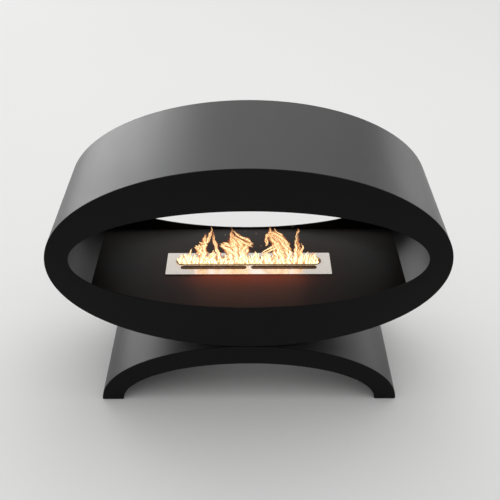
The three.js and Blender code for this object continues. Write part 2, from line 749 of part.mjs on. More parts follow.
function trayGeometry() {
  const outer = roundedRectangle(trayLength, trayWidth, TRAY_CORNER);
  const inner = roundedRectangle(
    trayLength - 2 * TRAY_WALL,
    trayWidth - 2 * TRAY_WALL,
    TRAY_CORNER - TRAY_WALL,
  );
  const hollow = alongZ(inner, trayFloorTop, BURNER_PLATE_THICKNESS, CORNER_SEGMENTS);
  return cut(alongZ(outer, -TRAY_DEPTH, 0, CORNER_SEGMENTS), hollow);
}

function deckOutline() {
  return roundedRectangle(deckLength, deckWidth, TRAY_CORNER - TRAY_WALL);
}

function screwPlaces() {
  const places = [];
  for (const side of sides) {
    for (const end of [-1, 1]) {
      places.push({
        label: `${end < 0 ? 'front' : 'rear'}_${side.word}`,
        x: side.sign * (deckLength / 2 - SCREW_INSET),
        y: end * (deckWidth / 2 - SCREW_INSET),
      });
    }
  }
  return places;
}

function screwHoles(from, to) {
  const radius = SCREW_DIAMETER / 2 + SCREW_CLEARANCE;
  return screwPlaces().map((place) => rod(radius, from, to, place.x, place.y, SMALL_ROUND_SEGMENTS));
}

// The tank is an open box with a flange turned out round its top.
function tankGeometry() {
  const flangeUnderside = deckUnderside - TANK_WALL;
  const flange = alongZ(deckOutline(), flangeUnderside, deckUnderside, CORNER_SEGMENTS);
  const outer = roundedRectangle(tankLength, tankWidth, TRAY_CORNER);
  const inner = roundedRectangle(
    tankLength - 2 * TANK_WALL,
    tankWidth - 2 * TANK_WALL,
    TRAY_CORNER - TANK_WALL,
  );
  const tub = join(flange, alongZ(outer, tankUnderside, deckUnderside, CORNER_SEGMENTS));
  const hollow = alongZ(inner, tankUnderside + TANK_WALL, 0, CORNER_SEGMENTS);
  return cut(tub, hollow, ...screwHoles(-TRAY_DEPTH, 0));
}

// The deck closes the tank but for its mouth, and the shutter runs over it.
function deckGeometry() {
  const sheet = alongZ(deckOutline(), deckUnderside, deckTop, CORNER_SEGMENTS);
  const mouth = alongZ(stadium(mouthLength, mouthWidth, 0, flameCentreY), -TRAY_DEPTH, 0);
  return cut(sheet, mouth, ...screwHoles(-TRAY_DEPTH, 0));
}

function deckScrewGeometry(place) {
  const foot = deckUnderside - SCREW_THREAD_BELOW_DECK;
  const profile = [
    [0, foot],
    [SCREW_DIAMETER / 2, foot + SCREW_DIAMETER / 4],
    [SCREW_DIAMETER / 2, deckTop],
    [SCREW_HEAD_DIAMETER / 2, deckTop],
    [SCREW_HEAD_DIAMETER / 2, deckTop + SCREW_HEAD_HEIGHT / 2],
    [SCREW_HEAD_DIAMETER / 3, deckTop + SCREW_HEAD_HEIGHT],
    [0, deckTop + SCREW_HEAD_HEIGHT],
  ].map(([radius, z]) => new THREE.Vector2(radius, z));
  const turned = new THREE.LatheGeometry(profile, SMALL_ROUND_SEGMENTS).rotateX(Math.PI / 2);
  return turned.translate(place.x, place.y, 0);
}

// A channel, open side down, across the tray's floor. It holds the tank off the floor.
function bearerGeometry(sign) {
  const half = BEARER_WIDTH / 2;
  const innerHalf = half - BEARER_SHEET;
  const outline = polygon(
    [-half, trayFloorTop],
    [-innerHalf, trayFloorTop],
    [-innerHalf, tankUnderside - BEARER_SHEET],
    [innerHalf, tankUnderside - BEARER_SHEET],
    [innerHalf, trayFloorTop],
    [half, trayFloorTop],
    [half, tankUnderside],
    [-half, tankUnderside],
  );
  return alongY(outline, -tankWidth / 2, tankWidth / 2).translate(sign * bearerX, 0, 0);
}

const wickMeshUnderside = deckUnderside - WICK_MESH_THICKNESS;

function wickGeometry() {
  const length = tankLength - 2 * TANK_WALL - 2 * SEAT_GAP;
  const width = tankWidth - 2 * TANK_WALL - 2 * SEAT_GAP;
  const outline = roundedRectangle(length, width, TRAY_CORNER - TANK_WALL);
  const foot = tankUnderside + TANK_WALL + SEAT_GAP;
  return alongZ(outline, foot, wickMeshUnderside - SEAT_GAP, CORNER_SEGMENTS);
}

// Rows of oblong holes, as cutters for a perforated sheet.
function holeRows(span, holeLength, holeWidth, pitch, centreX, rows) {
  const count = Math.floor(span / pitch);
  const cutters = [];
  for (const y of rows) {
    for (let i = 0; i < count; i += 1) {
      const x = centreX + (i - (count - 1) / 2) * pitch;
      const low = [x - holeWidth / 2, y - holeLength / 2, -TRAY_DEPTH];
      cutters.push(box(low, [x + holeWidth / 2, y + holeLength / 2, BURNER_PLATE_THICKNESS]));
    }
  }
  return cutters;
}

function wickMeshGeometry() {
  const length = mouthLength + 2 * WICK_MESH_BORDER;
  const width = mouthWidth + 2 * WICK_MESH_BORDER;
  const sheet = alongZ(stadium(length, width, 0, flameCentreY), wickMeshUnderside, deckUnderside);
  const holeLength = (mouthWidth - 3 * WICK_MESH_WEB) / 2;
  const rowOffset = (holeLength + WICK_MESH_WEB) / 2;
  const rows = [flameCentreY - rowOffset, flameCentreY + rowOffset];
  const pitch = WICK_MESH_SLOT + WICK_MESH_WEB;
  return cut(sheet, ...holeRows(mouthLength - mouthWidth, holeLength, WICK_MESH_SLOT, pitch, 0, rows));
}

function slotMeshGeometry(sign) {
  const length = slotLength + 2 * SLOT_MESH_BORDER;
  const width = SLOT_WIDTH + 2 * SLOT_MESH_BORDER;
  const centreX = sign * slotCentreX;
  const sheet = alongZ(stadium(length, width, centreX, slotCentreY), -SLOT_MESH_THICKNESS, 0);
  const holeLength = SLOT_WIDTH - 2 * SLOT_MESH_BORDER;
  const span = slotLength - SLOT_WIDTH;
  const holes = holeRows(span, holeLength, SLOT_MESH_OPENING, SLOT_MESH_PITCH, centreX, [slotCentreY]);
  return cut(sheet, ...holes);
}

addPiece(burner, 'burner_plate', burnerPlateGeometry(), brushedSteel);
addPiece(burner, 'drip_tray', trayGeometry(), plainSteel);
addPiece(burner, 'fuel_tank', tankGeometry(), plainSteel);
addPiece(burner, 'tank_deck', deckGeometry(), brushedSteel);
addPiece(burner, 'ceramic_wick', wickGeometry(), ceramicFibre);
addPiece(burner, 'wick_mesh', wickMeshGeometry(), plainSteel);
for (const side of sides) {
  addPiece(burner, `tank_bearer_${side.word}`, bearerGeometry(side.sign), plainSteel);
  addPiece(burner, `slot_mesh_${side.word}`, slotMeshGeometry(side.sign), plainSteel);
}
for (const place of screwPlaces()) {
  addPiece(burner, `deck_screw_${place.label}`, deckScrewGeometry(place), zincPlate);
}

// ---- Shutter and its rails ------------------------------------------------------------------

// A flat blade with an upturned rear lip. The lip stands in the flame opening, whose two long
// edges stop it, and a window in the lip takes the tip of a hook.
function shutterGeometry() {
  const frontY = shutterRearY - shutterWidth;
  const lipTop = BURNER_PLATE_THICKNESS - LIP_BELOW_PLATE;
  const blade = box(
    [-shutterLength / 2, frontY, shutterUnderside],
    [shutterLength / 2, shutterRearY, shutterTop],
  );
  const lipHalf = (FLAME_LENGTH - FLAME_WIDTH) / 2 - LIP_END_SETBACK;
  const lip = box([-lipHalf, lipFrontY, shutterUnderside], [lipHalf, shutterRearY, lipTop]);
  const windowFoot = shutterTop + (lipTop - shutterTop - HOOK_WINDOW_HEIGHT) / 2;
  const hookWindow = box(
    [-HOOK_WINDOW_LENGTH / 2, lipFrontY - SHUTTER_THICKNESS, windowFoot],
    [HOOK_WINDOW_LENGTH / 2, shutterRearY + SHUTTER_THICKNESS, windowFoot + HOOK_WINDOW_HEIGHT],
  );
  return cut(join(blade, lip), hookWindow);
}

// An angle hung under the burner plate. Its wall guides the shutter's end, and its flange lies
// over the end.
function railGeometry(sign) {
  const inner = shutterLength / 2 + SHUTTER_RUN;
  const outer = inner + RAIL_WALL;
  const keeper = shutterLength / 2 - RAIL_KEEPER;
  const foot = deckTop + SEAT_GAP;
  const corners = [
    [keeper, -RAIL_SHEET],
    [inner, -RAIL_SHEET],
    [inner, foot],
    [outer, foot],
    [outer, 0],
    [keeper, 0],
  ];
  const outline = polygon(...corners.map(([x, z]) => [sign * x, z]));
  return alongY(outline, shutterRearY - shutterWidth, flameRearY);
}

addPiece(burner, 'shutter', shutterGeometry(), brushedSteel);
for (const side of sides) {
  addPiece(burner, `shutter_rail_${side.word}`, railGeometry(side.sign), plainSteel);
}

export default fireplace;
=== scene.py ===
import math
import random

import bmesh
import bpy
from mathutils import Matrix, Vector


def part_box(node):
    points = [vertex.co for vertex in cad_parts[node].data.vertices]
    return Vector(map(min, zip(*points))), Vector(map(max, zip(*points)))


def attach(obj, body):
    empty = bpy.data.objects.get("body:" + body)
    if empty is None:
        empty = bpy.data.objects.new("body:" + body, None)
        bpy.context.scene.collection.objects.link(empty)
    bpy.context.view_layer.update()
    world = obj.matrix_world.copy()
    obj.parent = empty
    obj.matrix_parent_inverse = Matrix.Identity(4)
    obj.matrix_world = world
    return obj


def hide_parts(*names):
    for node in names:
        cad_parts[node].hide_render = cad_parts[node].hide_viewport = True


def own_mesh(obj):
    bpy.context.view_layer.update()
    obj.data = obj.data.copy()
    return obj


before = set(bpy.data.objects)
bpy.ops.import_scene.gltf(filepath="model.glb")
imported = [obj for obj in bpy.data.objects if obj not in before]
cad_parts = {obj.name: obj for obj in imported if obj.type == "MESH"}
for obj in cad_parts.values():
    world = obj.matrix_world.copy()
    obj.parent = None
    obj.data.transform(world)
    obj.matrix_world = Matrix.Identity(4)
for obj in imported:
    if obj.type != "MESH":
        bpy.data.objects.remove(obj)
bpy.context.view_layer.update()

bl_info = {
    "name": "Bioethanol Fireplace",
    "version": (1, 0, 0),
    "blender": (4, 5, 0),
    "location": "View3D > Sidebar > Fireplace",
    "description": "Dresses the drum fireplace, its base, its burner and its flames",
    "category": "Object",
}

# ---- Places taken from the frame, in metres -------------------------------------------------

DRUM_LOW, DRUM_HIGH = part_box("drum_shell")
FACE_LOW, FACE_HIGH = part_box("front_face")
REAR_LOW, REAR_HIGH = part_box("rear_face")
ARCH_LOW, ARCH_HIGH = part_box("base_front_plate")
PLATE_LOW, PLATE_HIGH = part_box("burner_plate")
WICK_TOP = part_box("wick_mesh")[1].z

DRUM_HALF_WIDTH = DRUM_HIGH.x
DRUM_HALF_HEIGHT = (DRUM_HIGH.z - DRUM_LOW.z) / 2
DRUM_CENTRE_Z = (DRUM_HIGH.z + DRUM_LOW.z) / 2
HALF_DEPTH = REAR_HIGH.y
FACE_THICKNESS = FACE_HIGH.y - FACE_LOW.y
ARCH_HALF_WIDTH = ARCH_HIGH.x
ARCH_RISE = ARCH_HIGH.z
ARCH_FOOT = ARCH_LOW.z


# ---- Sizes and colours a user may change ----------------------------------------------------


def length(name, description, default):
    return bpy.props.FloatProperty(
        name=name, description=description, default=default, min=0.0, unit="LENGTH", precision=4
    )


def colour(name, description, default):
    return bpy.props.FloatVectorProperty(
        name=name, description=description, default=default, size=3, min=0.0, max=1.0, subtype="COLOR"
    )


class FireplaceSizes(bpy.types.PropertyGroup):
    """Sizes that the frame's boxes don't give."""

    shell_wall: length("Shell wall", "Thickness of the rolled shell", 0.003)
    rim_side: length("Side rim", "Face plate beside the fire opening", 0.058)
    rim_top: length("Top rim", "Face plate above the fire opening", 0.113)
    rim_bottom: length("Bottom rim", "Face plate below the fire opening", 0.129)
    face_round: length("Face edge radius", "Outer edge of each face plate", 0.002)
    opening_round: length("Opening edge radius", "Edge of the fire opening", 0.0008)
    band_side: length("Base band at the legs", "Width of the arch at its feet", 0.058)
    band_crown: length("Base band at the crown", "Height of the arch at its crown", 0.060)
    skin_wall: length("Base skin", "Thickness of the base's skins", 0.002)
    base_round: length("Base edge radius", "Outer edges of the arch plates", 0.0015)
    sheet_edge: length("Sheet edge radius", "Broken edges of the cut sheets", 0.0004)
    weave_pitch: length("Weave pitch", "Spacing of the wires under the slots", 0.0016)
    weave_wire: length("Weave wire", "Thickness of those wires", 0.0005)
    flame_length: length("Flame opening length", "Length of the opening in the burner plate", 0.394)
    flame_width: length("Flame opening width", "Width of the opening in the burner plate", 0.035)
    flame_from_rear: length("Flame opening inset", "From the plate's rear edge", 0.0205)
    flame_height: length("Flame height", "Tallest tongue above the burner plate", 0.112)


class FireplaceColours(bpy.types.PropertyGroup):
    """Colours of the finishes, as linear values."""

    skin: colour("Skin coat", "Powder coat of the shell and the base's skins", (0.020, 0.020, 0.0205))
    face: colour("Face coat", "Powder coat of the face plates", (0.0060, 0.0061, 0.0062))
    hearth: colour("Hearth coat", "Heat-proof coat of the hearth floor", (0.0098, 0.0072, 0.0055))
    steel: colour("Burner steel", "Brushed stainless steel", (0.66, 0.615, 0.565))
    inner_steel: colour("Inner steel", "Mill-finish steel inside the burner", (0.36, 0.33, 0.30))
    zinc: colour("Zinc", "Zinc-plated fasteners", (0.45, 0.45, 0.44))
    ceramic: colour("Ceramic fibre", "Filling of the tank", (0.80, 0.77, 0.70))
    rubber: colour("Glide rubber", "Glides under the legs", (0.010, 0.010, 0.010))
    floor: colour("Studio floor", "Floor of the stage", (0.745, 0.745, 0.74))


# ---- Shader graphs as expressions -----------------------------------------------------------


class Wire:
    """A socket of a shader graph. Arithmetic on it adds Math nodes."""

    def __init__(self, graph, socket):
        self.graph = graph
        self.socket = socket

    def math(self, operation, *others):
        return self.graph.node("ShaderNodeMath", {"operation": operation}, [self, *others])

    def __add__(self, other):
        return self.math("ADD", other)

    __radd__ = __add__

    def __sub__(self, other):
        return self.math("SUBTRACT", other)

    def __rsub__(self, other):
        return self.graph.node("ShaderNodeMath", {"operation": "SUBTRACT"}, [other, self])

    def __mul__(self, other):
        return self.math("MULTIPLY", other)

    __rmul__ = __mul__

    def __pow__(self, other):
        return self.math("POWER", other)

    def __abs__(self):
        return self.math("ABSOLUTE")

    def at_least(self, other):
        return self.math("MAXIMUM", other)

    def at_most(self, other):
        return self.math("MINIMUM", other)

    def fade(self, low, high):
        """0 at low and 1 at high, smooth between them."""
        settings = {"interpolation_type": "SMOOTHSTEP"}
        return self.graph.node(
            "ShaderNodeMapRange", settings, {"Value": self, "From Min": low, "From Max": high}
        )


class Graph:
    """The shader graph of a material, or of the world where one is given."""

    def __init__(self, name, world=None):
        self.holder = world or bpy.data.materials.new(name)
        self.holder.use_nodes = True
        self.tree = self.holder.node_tree
        self.tree.nodes.clear()

    def node(self, kind, settings=None, inputs=None, output=0):
        node = self.tree.nodes.new(kind)
        for name, value in (settings or {}).items():
            if name == "stops":
                self.set_stops(node.color_ramp, value)
            else:
                setattr(node, name, value)
        pairs = inputs.items() if isinstance(inputs, dict) else enumerate(inputs or [])
        for key, value in pairs:
            if isinstance(value, Wire):
                self.tree.links.new(value.socket, node.inputs[key])
            else:
                node.inputs[key].default_value = value
        return Wire(self, node.outputs[output]) if len(node.outputs) else None

    @staticmethod
    def set_stops(ramp, stops):
        while len(ramp.elements) > 1:
            ramp.elements.remove(ramp.elements[-1])
        for index, (position, value) in enumerate(stops):
            element = ramp.elements[0] if index == 0 else ramp.elements.new(position)
            element.position = position
            element.color = (*value, 1.0)

    def place(self):
        """The point on the object, in the frame's metres, as a vector wire."""
        return self.node("ShaderNodeTexCoord", output="Object")

    def axes(self):
        vector = self.place()
        return [self.node("ShaderNodeSeparateXYZ", None, [vector], output) for output in range(3)]

    def noise(self, scale, detail=3.0, roughness=0.5, stretch=(1.0, 1.0, 1.0), distortion=0.0):
        vector = self.node("ShaderNodeVectorMath", {"operation": "MULTIPLY"}, [self.place(), stretch])
        inputs = {
            "Vector": vector,
            "Scale": scale,
            "Detail": detail,
            "Roughness": roughness,
            "Distortion": distortion,
        }
        return self.node("ShaderNodeTexNoise", None, inputs)

    def mix(self, factor, a, b):
        """A colour from a to b."""
        a = (*a, 1.0) if isinstance(a, (tuple, Vector)) else a
        b = (*b, 1.0) if isinstance(b, (tuple, Vector)) else b
        return self.node("ShaderNodeMix", {"data_type": "RGBA"}, {0: factor, 6: a, 7: b}, 2)

    def bump(self, height, distance, strength=1.0):
        return self.node(
            "ShaderNodeBump", None, {"Strength": strength, "Distance": distance, "Height": height}
        )

    def surface(self, **inputs):
        shader = self.node(
            "ShaderNodeBsdfPrincipled", None, {key.replace("_", " "): v for key, v in inputs.items()}
        )
        self.node("ShaderNodeOutputMaterial", None, {"Surface": shader})
        return self.holder


def scaled(value, factor):
    return tuple(channel * factor for channel in value)


def colours():
    scene_colours = bpy.context.scene.fireplace_colours
    return {name: tuple(getattr(scene_colours, name)) for name in FireplaceColours.__annotations__}


# ---- Finishes -------------------------------------------------------------------------------

FINISHES = {}


def finish(build):
    """Keeps each finish's material, so that it is made once."""

    def cached():
        if build.__name__ not in FINISHES:
            FINISHES[build.__name__] = build()
        return FINISHES[build.__name__]

    return cached


def powder_coat(name, base, roughness, specular, dust_and_painted_light):
    """Baked powder coat: orange peel, faint mottling, wiped streaks and a little dust."""
    graph = Graph(name)
    cloud = graph.noise(6.0, 4.0)
    wiped = graph.noise(9.0, 3.0, 0.6, stretch=(1.0, 0.35, 1.0), distortion=0.6)
    speck = graph.noise(900.0, 2.0).fade(0.60, 0.74)
    tone = graph.mix(cloud, scaled(base, 0.86), scaled(base, 1.14))
    tone = graph.mix(speck * 0.30, tone, scaled(base, 1.9))
    tone = graph.mix(wiped.fade(0.45, 0.85) * dust_and_painted_light, tone, (0.16, 0.155, 0.15))
    peel = graph.noise(420.0, 2.0, 0.45)
    grain = graph.noise(1500.0, 1.0)
    return graph.surface(
        Base_Color=tone,
        Roughness=roughness + (wiped - 0.5) * 0.10 + (grain - 0.5) * 0.05,
        Specular_IOR_Level=specular,
        Normal=graph.bump(peel * 0.75 + grain * 0.25, 0.00022, 0.35),
    )


@finish
def skin_coat():
    return powder_coat("skin_coat", colours()["skin"], 0.40, 0.5, 0.03)


@finish
def face_coat():
    return powder_coat("face_coat", colours()["face"], 0.56, 0.11, 0.008)


@finish
def inner_coat():
    return powder_coat("inner_coat", colours()["skin"], 0.5, 0.3, 0.03)


def burner_distance(graph):
    """Distance of a point from the rim of the flame opening, outside it, as seen from above."""
    sizes = bpy.context.scene.fireplace_sizes
    x, y, _ = graph.axes()
    reach = (sizes.flame_length - sizes.flame_width) / 2
    centre = PLATE_HIGH.y - sizes.flame_from_rear - sizes.flame_width / 2
    beyond = (abs(x) - reach).at_least(0.0)
    across = y - centre
    return (beyond * beyond + across * across) ** 0.5 - sizes.flame_width / 2


@finish
def hearth_coat():
    """Heat-proof coat of the floor: browned by heat round the burner with painted firelight there,
    painted light growing towards the rear, faint scuffs.
    """
    graph = Graph("hearth_coat")
    base = colours()["hearth"]
    cloud = graph.noise(7.0, 4.0)
    scuff = graph.noise(14.0, 5.0, 0.65, stretch=(0.4, 1.0, 1.0), distortion=1.2).fade(0.56, 0.80)
    near = 1.0 - burner_distance(graph).fade(0.045, 0.125)
    _, y, _ = graph.axes()
    # Painted light: the coat grows lighter towards the rear, where light falls in through the rear
    # opening, with a cloudy mottle.
    dust_and_painted_light = y.fade(-0.10, 0.15) * (0.6 + cloud * 0.8)
    tone = graph.mix(cloud, scaled(base, 0.88), scaled(base, 1.12))
    tone = graph.mix(dust_and_painted_light * 0.85, tone, (0.040, 0.037, 0.036))
    # Heat browning round the burner, partly painted firelight: a warmer, lighter pool on the coat around
    # the flame opening.
    tone = graph.mix(near * 0.45, tone, (0.040, 0.018, 0.011))
    tone = graph.mix(scuff * 0.08, tone, (0.08, 0.078, 0.075))
    peel = graph.noise(380.0, 2.0, 0.45)
    grain = graph.noise(1300.0, 1.0)
    return graph.surface(
        Base_Color=tone,
        Roughness=0.40 + (cloud - 0.5) * 0.08 + scuff * 0.06 + near * 0.03,
        Specular_IOR_Level=0.11,
        Normal=graph.bump(peel * 0.7 + grain * 0.3, 0.00022, 0.35),
    )


def brushed(graph, along):
    """Fine parallel scratches: long along one axis, short across the others."""
    thin = tuple(1.0 if axis == along else 60.0 for axis in "xyz")
    fine = tuple(3.0 if axis == along else 260.0 for axis in "xyz")
    return graph.noise(9.0, 4.0, 0.6, stretch=thin), graph.noise(9.0, 3.0, 0.6, stretch=fine)


@finish
def burner_steel():
    """Brushed stainless steel: heat tints and soot at the flame opening, painted shade along the plate's
    cut edge.
    """
    graph = Graph("burner_steel")
    base = colours()["steel"]
    broad, fine = brushed(graph, "x")
    away = burner_distance(graph)
    cloud = graph.noise(22.0, 3.0)
    wander = away + (cloud - 0.5) * 0.010
    straw = 1.0 - wander.fade(0.002, 0.020)
    brown = 1.0 - wander.fade(-0.001, 0.008)
    soot = away.fade(-0.0012, 0.0004) * (1.0 - away.fade(0.0016, 0.0034))
    smear = graph.noise(30.0, 4.0, 0.6, distortion=1.5).fade(0.52, 0.82)
    _, _, z = graph.axes()
    # Painted shade: a dark band on the plate's cut side edge, standing in for the shadow line under its
    # rim.
    above = z - PLATE_LOW.z
    cut = above.fade(-0.0010, -0.0004) * (1.0 - above.fade(0.0010, 0.0017))
    cut = cut * away.fade(0.010, 0.015)
    tone = graph.mix(broad, scaled(base, 0.90), scaled(base, 1.06))
    tone = graph.mix(straw * 0.14, tone, (0.62, 0.50, 0.36))
    tone = graph.mix(brown * 0.14, tone, (0.42, 0.30, 0.22))
    tone = graph.mix(soot * 0.80, tone, (0.06, 0.045, 0.04))
    tone = graph.mix(cut * 0.85, tone, (0.030, 0.026, 0.024))
    return graph.surface(
        Base_Color=tone,
        Metallic=1.0 - soot * 0.7 - cut * 0.5,
        Roughness=0.26 + (broad - 0.5) * 0.14 + smear * 0.08 + soot * 0.35,
        Normal=graph.bump(fine * 0.6 + broad * 0.4, 0.00010, 0.30),
    )


@finish
def inner_steel():
    """Mill-finish steel inside the burner, tinted by heat and stained by burnt fuel."""
    graph = Graph("inner_steel")
    base = colours()["inner_steel"]
    broad, fine = brushed(graph, "x")
    stain = graph.noise(28.0, 5.0, 0.65, distortion=1.0).fade(0.44, 0.72)
    tone = graph.mix(broad, scaled(base, 0.85), scaled(base, 1.15))
    tone = graph.mix(stain * 0.55, tone, (0.20, 0.115, 0.070))
    return graph.surface(
        Base_Color=tone,
        Metallic=0.92,
        Roughness=0.42 + stain * 0.20 + (broad - 0.5) * 0.14,
        Normal=graph.bump(fine, 0.00012, 0.35),
    )


@finish
def burnt_mesh():
    """Woven steel browned by heat and burnt fuel."""
    graph = Graph("burnt_mesh")
    stain = graph.noise(60.0, 5.0, 0.65, distortion=1.0)
    grain = graph.noise(700.0, 2.0)
    return graph.surface(
        Base_Color=graph.mix(stain, (0.19, 0.105, 0.065), (0.36, 0.235, 0.160)),
        Metallic=0.55,
        Roughness=0.55 + (grain - 0.5) * 0.20,
        Normal=graph.bump(grain, 0.00015, 0.5),
    )


@finish
def zinc_steel():
    """Zinc plate: a pale grey with a fine crystalline mottle."""
    graph = Graph("zinc_steel")
    base = colours()["zinc"]
    spangle = graph.node(
        "ShaderNodeTexVoronoi", None, {"Vector": graph.place(), "Scale": 420.0}, "Color"
    )
    level = graph.node("ShaderNodeSeparateColor", None, [spangle])
    tone = graph.mix(level, scaled(base, 0.80), scaled(base, 1.15))
    return graph.surface(
        Base_Color=tone,
        Metallic=0.95,
        Roughness=0.34 + level * 0.16,
        Normal=graph.bump(graph.noise(900.0, 2.0), 0.00008, 0.4),
    )


@finish
def ceramic_fibre():
    """White ceramic wool: matted strands, scorched a little along its middle."""
    graph = Graph("ceramic_fibre")
    base = colours()["ceramic"]
    strand = graph.noise(160.0, 6.0, 0.75, stretch=(0.35, 1.0, 1.0), distortion=2.5)
    lump = graph.noise(35.0, 4.0, 0.6)
    scorch = graph.noise(18.0, 4.0, 0.6).fade(0.52, 0.76)
    tone = graph.mix(strand, scaled(base, 0.80), scaled(base, 1.08))
    tone = graph.mix(scorch * 0.35, tone, (0.42, 0.31, 0.22))
    return graph.surface(
        Base_Color=tone,
        Roughness=0.94 + (strand - 0.5) * 0.08,
        Specular_IOR_Level=0.15,
        Normal=graph.bump(strand * 0.6 + lump * 0.4, 0.0012, 0.8),
    )


@finish
def glide_rubber():
    """Moulded black rubber, slightly dusty."""
    graph = Graph("glide_rubber")
    base = colours()["rubber"]
    grain = graph.noise(600.0, 3.0)
    dust_and_painted_light = graph.noise(40.0, 4.0).fade(0.5, 0.8)
    return graph.surface(
        Base_Color=graph.mix(dust_and_painted_light * 0.25, scaled(base, 1.0), (0.07, 0.068, 0.065)),
        Roughness=0.82 + (grain - 0.5) * 0.15,
        Specular_IOR_Level=0.3,
        Normal=graph.bump(grain, 0.0003, 0.5),
    )


# Colours of the fire from its faint rim to its core, and what they are multiplied by.
FIRE_TONES = (
    (0.00, (0.022, 0.0036, 0.0016)),
    (0.18, (0.054, 0.0120, 0.0044)),
    (0.38, (0.104, 0.0420, 0.0140)),
    (0.58, (0.125, 0.0850, 0.0360)),
    (0.80, (0.160, 0.1250, 0.0700)),
    (1.00, (0.260, 0.2000, 0.1300)),
)
FIRE_STRENGTH = 10.0


@finish
def flame_fire():
    """Glowing gas: near white low down, yellow above, orange at the edges and the tips."""
    graph = Graph("flame_fire")
    across = graph.node("ShaderNodeAttribute", {"attribute_name": "across"}, output="Fac")
    rise = graph.node("ShaderNodeAttribute", {"attribute_name": "rise"}, output="Fac")
    lick = graph.noise(85.0, 4.0, 0.6, stretch=(1.0, 1.0, 0.55), distortion=1.8)
    curl = graph.noise(240.0, 4.0, 0.65, stretch=(1.0, 1.0, 0.5), distortion=2.2)
    fleck = graph.noise(520.0, 3.0, 0.6, stretch=(1.0, 1.0, 0.6), distortion=1.0)
    edge = across + (lick - 0.5) * 1.6 + (curl - 0.5) * 1.1 + (fleck - 0.5) * 0.5
    body = 1.0 - edge.fade(0.10, 0.72)
    halo = 1.0 - edge.fade(0.50, 1.00)
    ragged = 0.15 + (lick + curl * 0.9 - rise * 0.32).fade(0.48, 0.82) * 0.85
    swirl = (curl - 0.5) * 2.6 + (lick - 0.5) * 1.6 + (fleck - 0.5) * 1.6
    heat = body * (0.96 - rise * 0.40 + (1.0 - rise.fade(0.05, 0.35)) * 0.14 + swirl)
    glow = graph.node("ShaderNodeValToRGB", {"stops": FIRE_TONES}, [heat])
    return graph.surface(
        Base_Color=(0.0, 0.0, 0.0, 1.0),
        Roughness=1.0,
        Specular_IOR_Level=0.0,
        Alpha=(body * ragged + halo * 0.16).at_most(1.0),
        Emission_Color=glow,
        Emission_Strength=FIRE_STRENGTH,
    )


# ---- Meshes ---------------------------------------------------------------------------------

SMOOTH_BELOW = math.radians(15)


def add_mesh(name, points, faces, material, smooth_below=SMOOTH_BELOW):
    mesh = bpy.data.meshes.new(name)
    mesh.from_pydata(points, [], faces)
    mesh.validate()
    mesh.shade_smooth()
    mesh.set_sharp_from_angle(angle=smooth_below)
    mesh.materials.append(material)
    piece = bpy.data.objects.new(name, mesh)
    bpy.context.scene.collection.objects.link(piece)
    return piece


def quarter_round(radius, steps=5):
    """Steps of a rounded edge, from its side to its face: (in from the side, in from the face)."""
    angles = [math.pi / 2 * i / steps for i in range(steps + 1)]
    return [(radius * (1 - math.cos(a)), radius * (1 - math.sin(a))) for a in angles]


def ellipse_ring(half_width, half_height, centre_z, y, count):
    angles = [2 * math.pi * i / count for i in range(count)]
    return [
        Vector((half_width * math.cos(a), y, centre_z + half_height * math.sin(a))) for a in angles
    ]


def arch_ring(outer, inner, foot, y, count):
    """Outline of the arch: up over the outer curve and back under the inner one."""
    points = []
    for (half_width, rise), turn in ((outer, 1), (inner, -1)):
        start = math.asin(foot / rise)
        angles = [start + (math.pi - 2 * start) * i / count for i in range(count + 1)]
        for angle in angles[::turn]:
            points.append(Vector((half_width * math.cos(angle), y, rise * math.sin(angle))))
    return points


def skin_rings(rings, closed_section):
    """Points and faces of rings with as many points each, joined in order."""
    count = len(rings[0])
    points = [point for ring in rings for point in ring]
    faces = []
    last = len(rings) if closed_section else len(rings) - 1
    for k in range(last):
        here = k * count
        ahead = (k + 1) % len(rings) * count
        for i in range(count):
            j = (i + 1) % count
            faces.append((here + i, ahead + i, ahead + j, here + j))
    return points, faces


def outward(piece):
    """Turns every face of a closed piece to look outwards."""
    work = bmesh.new()
    work.from_mesh(piece.data)
    bmesh.ops.recalc_face_normals(work, faces=work.faces)
    work.to_mesh(piece.data)
    work.free()
    piece.data.set_sharp_from_angle(angle=SMOOTH_BELOW)
    return piece


def stand_for(piece, node, body):
    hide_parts(node)
    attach(piece, body)
    return piece


def dress(node, material, edge=0.0):
    """Gives a carried-over node its finish and, where asked, a broken edge."""
    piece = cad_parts[node]
    piece.data.materials.clear()
    piece.data.materials.append(material)
    if edge > 0:
        bevel = piece.modifiers.new("broken_edge", "BEVEL")
        bevel.width = edge
        bevel.segments = 2
        bevel.limit_method = "ANGLE"
        bevel.angle_limit = math.radians(40)
    return piece


def add_lamp(name, place, aim, up, size, power, tint=(1.0, 1.0, 1.0)):
    """A rectangular lamp that looks along aim."""
    data = bpy.data.lights.new(name, "AREA")
    data.shape = "RECTANGLE"
    data.size, data.size_y = size
    data.energy = power
    data.color = tint
    lamp = bpy.data.objects.new(name, data)
    lamp.location = place
    lamp.rotation_euler = Vector(aim).to_track_quat("-Z", up).to_euler()
    bpy.context.scene.collection.objects.link(lamp)
    return lamp


def nodes_named(*starts):
    return [name for name in sorted(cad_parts) if name.startswith(starts)]


# ---- Drum -----------------------------------------------------------------------------------

RING_COUNT = 288


class FIREPLACE_OT_drum_shell(bpy.types.Operator):
    """Make the rolled shell, open at both ends"""

    bl_idname = "fireplace.drum_shell"
    bl_label = "Drum Shell"

    def execute(self, context):
        wall = context.scene.fireplace_sizes.shell_wall
        front = FACE_HIGH.y
        rear = REAR_LOW.y
        section = [(0.0, front), (0.0, rear), (wall, rear), (wall, front)]
        rings = [
            ellipse_ring(
                DRUM_HALF_WIDTH - inset, DRUM_HALF_HEIGHT - inset, DRUM_CENTRE_Z, y, RING_COUNT
            )
            for inset, y in section
        ]
        points, faces = skin_rings(rings, True)
        piece = outward(add_mesh("shell_skin", points, faces, skin_coat()))
        stand_for(piece, "drum_shell", "stand")
        return {"FINISHED"}


